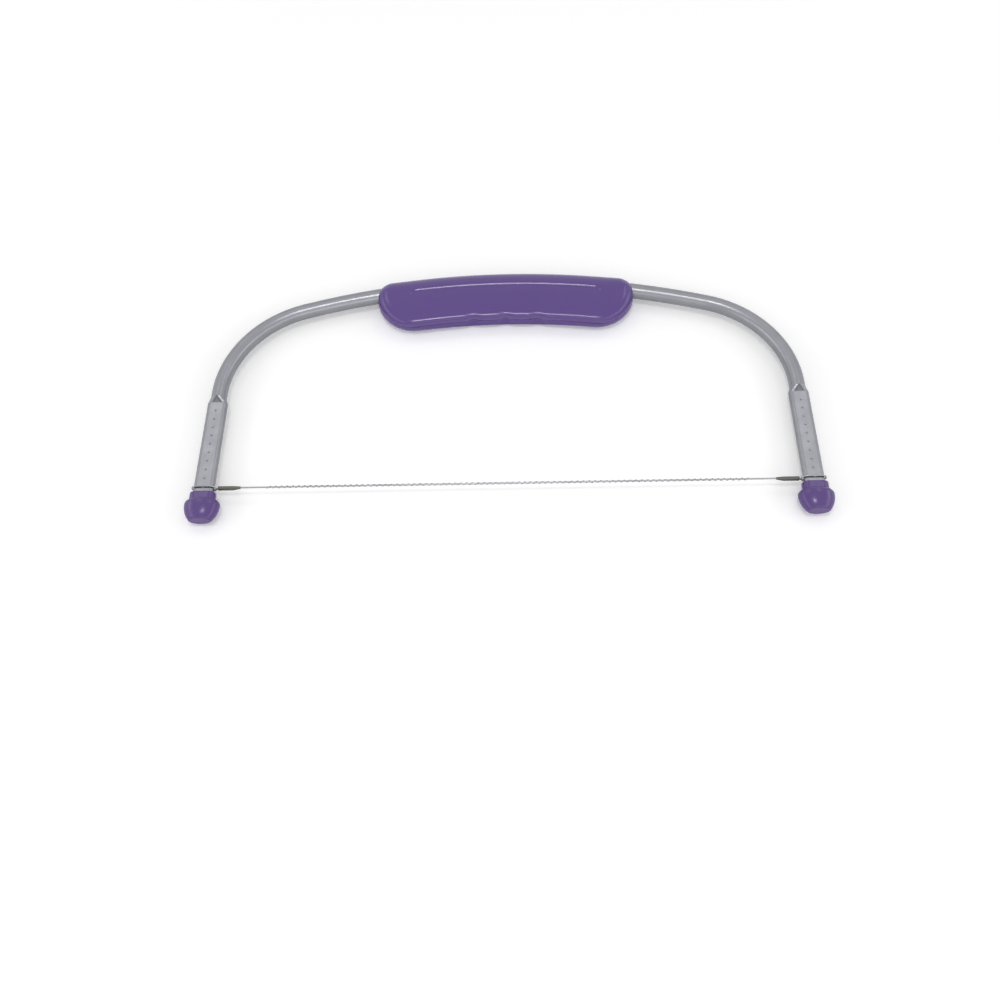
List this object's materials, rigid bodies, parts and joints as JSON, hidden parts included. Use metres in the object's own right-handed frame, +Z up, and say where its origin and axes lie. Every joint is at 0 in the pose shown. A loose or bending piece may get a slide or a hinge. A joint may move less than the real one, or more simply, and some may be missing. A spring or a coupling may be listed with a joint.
{
  "type": "cake leveler",
  "caption": "Bow-shaped cake leveler: bent steel tube with a moulded handle and feet, and a serrated cutting wire that steps up and down the marked legs.",
  "frame": {"origin": "under the middle of the outline, on the surface that the tool lies on with its front up", "axes": "+X along the cutting wire to the right, +Y from the feet to the handle, +Z up out of the front"},
  "size_m": [0.3134, 0.1494, 0.013],
  "materials": {
    "tube_steel": "satin",
    "handle_plastic": "semi-gloss moulded",
    "foot_plastic": "semi-gloss moulded",
    "wire_steel": "drawn",
    "ferrule_steel": "crimped, darkened",
    "screw_steel": "zinc-plated"
  },
  "bodies": {
    "frame": {"bow_tube": "tube_steel", "handle_front_shell": "handle_plastic", "handle_rear_shell": "handle_plastic", "handle_screws": "screw_steel", "left_foot": "foot_plastic", "right_foot": "foot_plastic"},
    "wire": {"cutting_wire": "wire_steel", "serration_wrap": "wire_steel", "left_ferrule": "ferrule_steel", "right_ferrule": "ferrule_steel"}
  },
  "joints": [
    {"name": "wire_height", "type": "slide", "parent": "frame", "child": "wire", "axis": [0, 1, 0], "range_m": [0, 0.045]}
  ]
}
